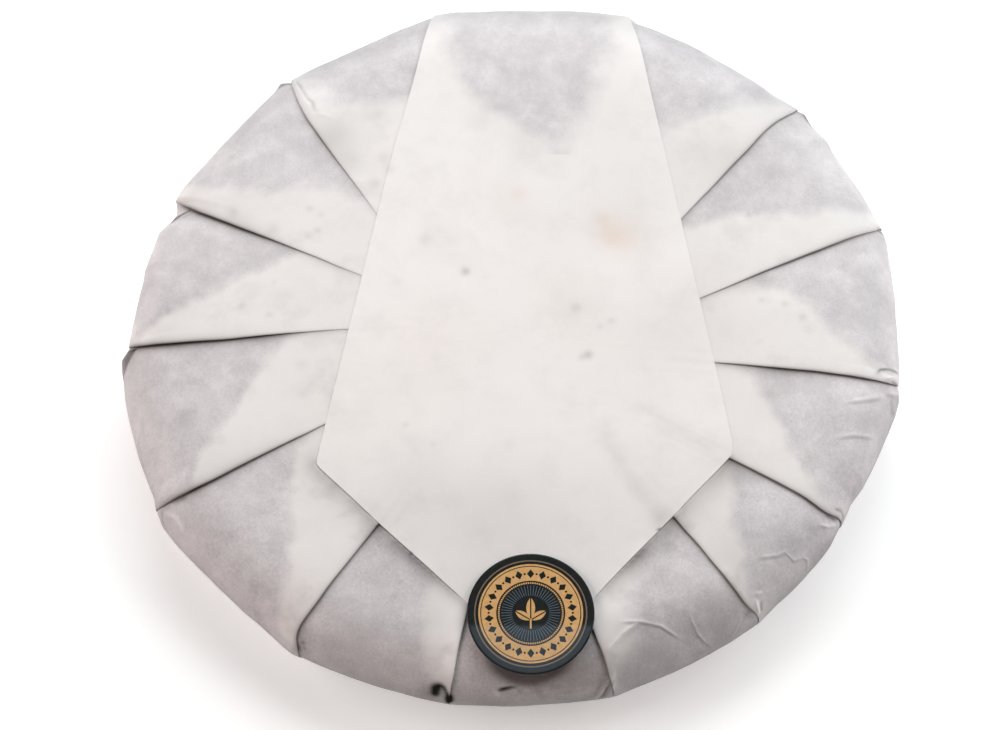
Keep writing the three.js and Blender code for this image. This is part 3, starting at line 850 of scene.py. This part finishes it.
def make_flap(paper):
    """Folded corner of the sheet, over the pleats"""
    y = np.linspace(FLAP_TIP[1], FLAP_END_Y, FLAP_ROWS)[:, None]
    left, right = flap_edges(y)
    half = FLAP_THICK / 2
    round_out, round_up = half * FLAP_ROUND
    at_ends = smooth(*FLAP_LIFT_FAR, y) + smooth(*FLAP_LIFT_TIP, y)

    def top_lift(x):
        lying = lerp(draped(x, y) + FLAP_CLEAR, read_off(FLAP_LIFT, y), at_ends)
        return lerp(lying, FLAP_TUCK, smooth(*FLAP_OVER_RIM, np.hypot(x, y)))

    x_middle = lerp(left + FLAP_EDGE[-1], right - FLAP_EDGE[-1], np.linspace(0, 1, FLAP_COLUMNS)[1:-1])
    x_top = np.hstack([left + FLAP_EDGE, x_middle, right - FLAP_EDGE[::-1]])
    x_under = lerp(right, left, np.linspace(0, 1, FLAP_UNDER_COLUMNS))
    x = np.hstack([x_top, right + round_out, x_under, left - round_out])
    lift_right = top_lift(right) - half + round_up
    lift_left = top_lift(left) - half - round_up
    lift = np.hstack([top_lift(x_top), lift_right, top_lift(x_under) - FLAP_THICK, lift_left])
    y = y + 0 * x
    points = surface(np.hypot(x, y), np.degrees(np.arctan2(y, x)), lift)
    look = paper_look(x, y, flap_layers(x, y), 0, read_off(FLAP_TONE, y), FLAP_BLOTCH)
    make_sheet("flap", points, paper, look)


def seal_profile():
    """Side view of the sticker, from its upper to its lower edge"""
    end = SEAL_RADIUS + SEAL_PROFILE_END
    at = np.linspace(-end, end, SEAL_PROFILE_STEPS)
    first = -SEAL_CENTRE[1] + at[0]
    section_out, section_up = SECTION_TANGENT.T
    under = np.interp(first + at - at[0], SECTION_AT, np.arctan2(-section_up, section_out))
    upper, lower = SEAL_SLOPES
    slope = lerp(np.minimum(under, upper), lower, smooth(*SEAL_BEND_AT, at))
    step = at[1] - at[0]
    out = np.hstack([0, np.cumsum(np.cos(slope[:-1]) * step)])
    down = np.hstack([0, np.cumsum(np.sin(slope[:-1]) * step)])
    start_z = np.interp(first, *SECTION[:CURVE_STEPS].T)
    return at, first + out, start_z + SEAL_LIFT - down, slope


def make_seal(print_looks):
    """Round sticker on the flap, bent down over the shoulder"""
    half = SEAL_THICK / 2
    radii_top = np.linspace(0, 1, SEAL_RINGS + 1)[1:] * (SEAL_RADIUS - half)
    radii_edge = SEAL_RADIUS - half + half * np.cos(SEAL_EDGE_TURNS)
    radii = np.hstack([radii_top, radii_edge, radii_top[::-1]])[:, None]
    flat = np.full(SEAL_RINGS, half)
    high = np.hstack([flat, half * np.sin(SEAL_EDGE_TURNS), -flat])[:, None]
    turn = np.linspace(0, 360, SEAL_SIDES, endpoint=False)[None]
    across, forth = from_polar(radii, turn)
    at, out, z, slope = seal_profile()

    def place(across, forth, high):
        tilt = np.interp(forth, at, slope)
        y = np.interp(forth, at, out) + high * np.sin(tilt)
        up = np.interp(forth, at, z) + high * np.cos(tilt)
        return np.stack([SEAL_CENTRE[0] + across, -y, up], axis=-1)

    rings = place(across, forth, high + 0 * turn)
    points = np.vstack([place(0, 0, half), rings.reshape(-1, 3), place(0, 0, -half)])
    look = {
        "print_x": np.hstack([0, across.ravel(), 0]) / SEAL_RADIUS,
        "print_y": np.hstack([0, -forth.ravel(), 0]) / SEAL_RADIUS,
    }
    faces = [block[:, ::-1] for block in closed_rings(len(rings), SEAL_SIDES)]
    make_piece("sticker", points, faces, print_looks, "seal", look)


def add(tree, kind, inputs, **settings):
    """New node with its settings and inputs, each a constant or another node's output"""
    node = tree.nodes.new(kind)
    for key, value in settings.items():
        setattr(node, key, value)
    for key, value in inputs.items():
        feed(node.inputs[key], value)
    return node


def feed(socket, value):
    if isinstance(value, Value):
        value.tree.links.new(value.socket, socket)
    else:
        socket.default_value = value


class Value:
    """Output of a shader node, for sums, products and comparisons"""

    def __init__(self, node, output=0):
        self.tree = node.id_data
        self.socket = node.outputs[output]

    def calc(self, operation, *others):
        inputs = dict(enumerate((self,) + others))
        return Value(add(self.tree, "ShaderNodeMath", inputs, operation=operation))

    __add__ = partialmethod(calc, "ADD")
    __sub__ = partialmethod(calc, "SUBTRACT")
    __rsub__ = partialmethod(calc, "MULTIPLY_ADD", -1)
    __mul__ = partialmethod(calc, "MULTIPLY")
    __gt__ = partialmethod(calc, "GREATER_THAN")
    __lt__ = partialmethod(calc, "LESS_THAN")
    __or__ = partialmethod(calc, "MAXIMUM")
    __abs__ = partialmethod(calc, "ABSOLUTE")


def new_material(name):
    material = bpy.data.materials.new(name)
    material.use_nodes = True
    tree = material.node_tree
    return material, tree, tree.nodes["Principled BSDF"].inputs


def object_place(tree):
    return Value(add(tree, "ShaderNodeTexCoord", {}), "Object")


def attribute(tree, name):
    return Value(add(tree, "ShaderNodeAttribute", {}, attribute_name=name), "Fac")


def noise(place, scale, detail, roughness):
    inputs = {"Vector": place, "Scale": scale, "Detail": detail, "Roughness": roughness}
    return Value(add(place.tree, "ShaderNodeTexNoise", inputs), "Fac")


def swing(value, amount):
    """Noise turned into a swing round 0"""
    return (value - 0.5) * amount


def mix_colour(part, first, second):
    """Mix of two colours: the node's inputs 6 and 7 and its output 2"""
    return Value(add(part.tree, "ShaderNodeMix", {0: part, 6: first, 7: second}, data_type="RGBA"), 2)


def scale_colour(colour, factor):
    return Value(add(colour.tree, "ShaderNodeVectorMath", {0: colour, "Scale": factor}, operation="SCALE"))


# Paper. Each noise has a scale, a detail and a roughness.
PAPER_WHITE = (0.826, 0.786, 0.776, 1)
PAPER_GREY = (0.655, 0.617, 0.63, 1)
PAPER_STAIN = (0.765, 0.665, 0.61, 1)
PAPER_SHADOW = (0.05, 0.037, 0.032, 1)
PAPER_ROUGHNESS = 0.9
PAPER_SHINE = 0.2
CLOUD_NOISE = (130, 5, 0.65)
CLOUD_ON_LAYERS = 0.7
CLOUD_ON_TONE = 0.46
GRAIN_NOISE = (1600, 3, 0.6)
GRAIN = 0.29
THIN_MOST = 1.1
LUMP_NOISE = (95, 4, 0.6)
LUMP_RANGE = {"From Min": 0.54, "From Max": 0.72, "To Min": 0, "To Max": -0.1}
FIBRE_NOISE = (500, 4, 0.6)
FIBRE_LEAST = 0.1
FIBRE_BUMP = {"Strength": 0.25, "Distance": 0.0003}


def paper_material():
    """Cotton paper: white in many layers, greyer and mottled where one layer covers the tea, with painted
    light and shade
    """
    material, tree, sockets = new_material("paper")
    place = object_place(tree)
    layers = attribute(tree, "layers")
    blotch = attribute(tree, "blotch")
    cloud = noise(place, *CLOUD_NOISE)
    colour = mix_colour(layers + swing(cloud, CLOUD_ON_LAYERS), PAPER_GREY, PAPER_WHITE)
    colour = mix_colour(attribute(tree, "stain"), colour, PAPER_STAIN)
    thin = THIN_MOST - layers
    grain = swing(noise(place, *GRAIN_NOISE), GRAIN) * blotch.calc("SQRT")
    speckle = (grain + swing(cloud, CLOUD_ON_TONE)) * thin
    lumps = add(tree, "ShaderNodeMapRange", {"Value": noise(place, *LUMP_NOISE), **LUMP_RANGE})
    # Brightness attribute: uneven paper together with painted light and painted shade
    bright = attribute(tree, "tone_and_light") * (speckle + Value(lumps) * blotch + 1)
    # The shade attribute mixes the colour towards PAPER_SHADOW: painted shade
    colour = mix_colour(attribute(tree, "shade"), scale_colour(colour, bright), PAPER_SHADOW)
    feed(sockets["Base Color"], colour)
    sockets["Roughness"].default_value = PAPER_ROUGHNESS
    sockets["Specular IOR Level"].default_value = PAPER_SHINE
    fibres = noise(place, *FIBRE_NOISE) * (thin + FIBRE_LEAST)
    bump = add(tree, "ShaderNodeBump", {"Height": fibres, **FIBRE_BUMP})
    feed(sockets["Normal"], Value(bump, "Normal"))
    return material


# Print on the sticker. Lengths are shares of its radius.
INK_DARK = (0.015, 0.017, 0.016, 1)
INK_GOLD = (0.64, 0.375, 0.155, 1)
INK_BROWN = (0.19, 0.14, 0.1, 1)
INK_BLUE = (0.1, 0.13, 0.16, 1)
INK_ROUGHNESS = 0.16
BROWN_RING = (0.865, 0.886)
GOLD_RING = (0.79, 0.82)
BAND = (0.54, 0.775)
ROPE = (0.488, 0.514)
ROPE_TURNS = 90
ROPE_GAP = 0.006
ORNAMENTS = 22
LOZENGE = (0.058, 0.075)
DOT = 0.018
RAYS = 56
RAY_REACH = (0.29, 0.462)
RAY_HALF = 0.0055
# Leaves: height of the base, lean in degrees, length and half width
LEAVES = [(-0.1, 0, 0.36, 0.07), (-0.12, 58, 0.29, 0.065), (-0.12, -58, 0.29, 0.065)]
VEIN_HALF = 0.01
STEM = (-0.26, -0.1)
STEM_HALF = 0.014
WEAR_NOISE = (900, 3, 0.5)
WEAR_ON_TONE = 0.5
WEAR_ON_ROUGHNESS = 0.15


def between(value, low, high):
    return (value > low) * (value < high)


def beside_spoke(angle, radius, count, shift=0):
    """Distance from the nearest of so many evenly spaced spokes"""
    turns = angle * (count / (2 * np.pi)) + (count + 0.5 + shift)
    return abs(turns.calc("FRACT") - 0.5) * (2 * np.pi / count) * radius


def leaf(x, y, base, lean, length, half_width):
    """Pointed leaf that leans from a base point, parted by its middle vein"""
    up, across = from_polar(1, lean)
    dy = y - base
    beside = abs(x * up - dy * across)
    middle = (x * across + dy * up) * (2 / length) - 1
    return (beside > VEIN_HALF) * (beside < (1 - middle * middle) * half_width)


def print_material():
    """Glossy dark sticker: gold rings, an ornamented band, fine rays and a small tea sprig"""
    material, tree, sockets = new_material("sticker_print")
    x, y = attribute(tree, "print_x"), attribute(tree, "print_y")
    radius = (x * x + y * y).calc("SQRT")
    angle = y.calc("ARCTAN2", x)
    rope = (beside_spoke(angle, radius, ROPE_TURNS) > ROPE_GAP) * between(radius, *ROPE)
    gold = between(radius, *GOLD_RING) | between(radius, *BAND) | rope
    height = abs(radius - sum(BAND) / 2)
    side = beside_spoke(angle, radius, ORNAMENTS, 0.5)
    lozenge = side * (1 / LOZENGE[0]) + height * (1 / LOZENGE[1])
    spoke = beside_spoke(angle, radius, ORNAMENTS)
    dot = spoke * spoke + height * height
    gold = gold * (1 - ((lozenge < 1) | (dot < DOT ** 2)))
    for shape in LEAVES:
        gold = gold | leaf(x, y, *shape)
    gold = gold | between(y, *STEM) * (abs(x) < STEM_HALF)
    rays = (beside_spoke(angle, radius, RAYS) < RAY_HALF) * between(radius, *RAY_REACH)
    wear = noise(object_place(tree), *WEAR_NOISE)
    colour = mix_colour(rays, INK_DARK, INK_BLUE)
    colour = mix_colour(between(radius, *BROWN_RING), colour, INK_BROWN)
    colour = mix_colour(gold, colour, INK_GOLD)
    feed(sockets["Base Color"], scale_colour(colour, swing(wear, WEAR_ON_TONE) + 1))
    feed(sockets["Roughness"], swing(wear, WEAR_ON_ROUGHNESS) + INK_ROUGHNESS)
    return material


# Floor, with its half width in metres
FLOOR_HALF = 3
FLOOR_COLOURS = ((0.95, 0.95, 0.95, 1), (0.97, 0.97, 0.97, 1))
FLOOR_NOISE = (3, 2, 0.5)
FLOOR_ROUGHNESS = 0.8
FLOOR_GLOW = 0.3


def floor_material():
    """Pale table that glows a little"""
    material, tree, sockets = new_material("studio_floor")
    feed(sockets["Base Color"], mix_colour(noise(object_place(tree), *FLOOR_NOISE), *FLOOR_COLOURS))
    sockets["Roughness"].default_value = FLOOR_ROUGHNESS
    sockets["Emission Color"].default_value = (1, 1, 1, 1)
    sockets["Emission Strength"].default_value = FLOOR_GLOW
    return material


def make_floor():
    mesh = bpy.data.meshes.new("floor")
    corners = [(FLOOR_HALF * x, FLOOR_HALF * y, 0) for x, y in ((-1, -1), (1, -1), (1, 1), (-1, 1))]
    mesh.from_pydata(corners, [], [(0, 1, 2, 3)])
    mesh.materials.append(floor_material())
    floor = add_object("floor", mesh)


# Camera: place in millimetres, and focus and place of its target in pixels of the photo
IMAGE_WIDTH = 1000
IMAGE_HEIGHT = 730
CAMERA_TARGET_Z = 12
CAMERA_DISTANCE = 900
CAMERA_ELEVATION = 63.9
CAMERA_FOCUS = 3483
TARGET_PIXEL = (511.93, 342.05)


def make_camera():
    data = bpy.data.cameras.new("camera")
    data.lens = CAMERA_FOCUS / IMAGE_WIDTH * data.sensor_width
    data.shift_x = (IMAGE_WIDTH / 2 - TARGET_PIXEL[0]) / IMAGE_WIDTH
    data.shift_y = (TARGET_PIXEL[1] - IMAGE_HEIGHT / 2) / IMAGE_WIDTH
    camera = add_object("camera", data)
    back, up = from_polar(CAMERA_DISTANCE, CAMERA_ELEVATION)
    camera.location = (0, -back * MM, (CAMERA_TARGET_Z + up) * MM)
    camera.rotation_euler = (np.radians(90 - CAMERA_ELEVATION), 0, 0)
    bpy.context.scene.camera = camera


# Soft round lights: name, place and diameter in metres, power in watts and colour
COOL = (0.92, 1, 1)
WARM = (1, 0.94, 0.94)
BROWN = (1, 0.72, 0.54)
BLUISH = (0.65, 0.83, 1)
LIGHTS = [
    ("behind", (0, 0.8, 0.65), 0.8, 6.2, COOL),
    ("behind_right", (0.6, 0.6, 0.65), 0.8, 4.4, COOL),
    ("left", (-0.9, 0.1, 0.5), 0.8, 5.9, WARM),
    ("right", (0.9, 0.1, 0.5), 0.8, 4.7, WARM),
    ("front_left", (-0.7, -0.5, 0.6), 0.8, 1.3, BROWN),
    ("gleam", (0.02, 0.11, 1), 0.2, 0.16, BLUISH),
]
FILL = 0.01
FILL_COLOUR = (1, 0.95, 0.92, 1)


def make_light(name, place, size, power, colour):
    """Light aimed at the middle of the floor"""
    data = bpy.data.lights.new(name, "AREA")
    data.shape = "DISK"
    data.size = size
    data.energy = power
    data.color = colour
    light = add_object(name, data)
    light.location = place
    light.rotation_euler = light.location.to_track_quat("Z", "Y").to_euler()


def make_world():
    world = bpy.data.worlds.new("studio")
    world.use_nodes = True
    background = world.node_tree.nodes["Background"]
    background.inputs["Color"].default_value = FILL_COLOUR
    background.inputs["Strength"].default_value = FILL
    bpy.context.scene.world = world


paper = paper_material()
make_body(paper)
for pleat in PLEATS:
    make_panel(*pleat, paper)
make_flap(paper)
make_seal(print_material())
make_floor()
make_camera()
for light in LIGHTS:
    make_light(*light)
make_world()
bpy.context.scene.view_settings.view_transform = "Standard"
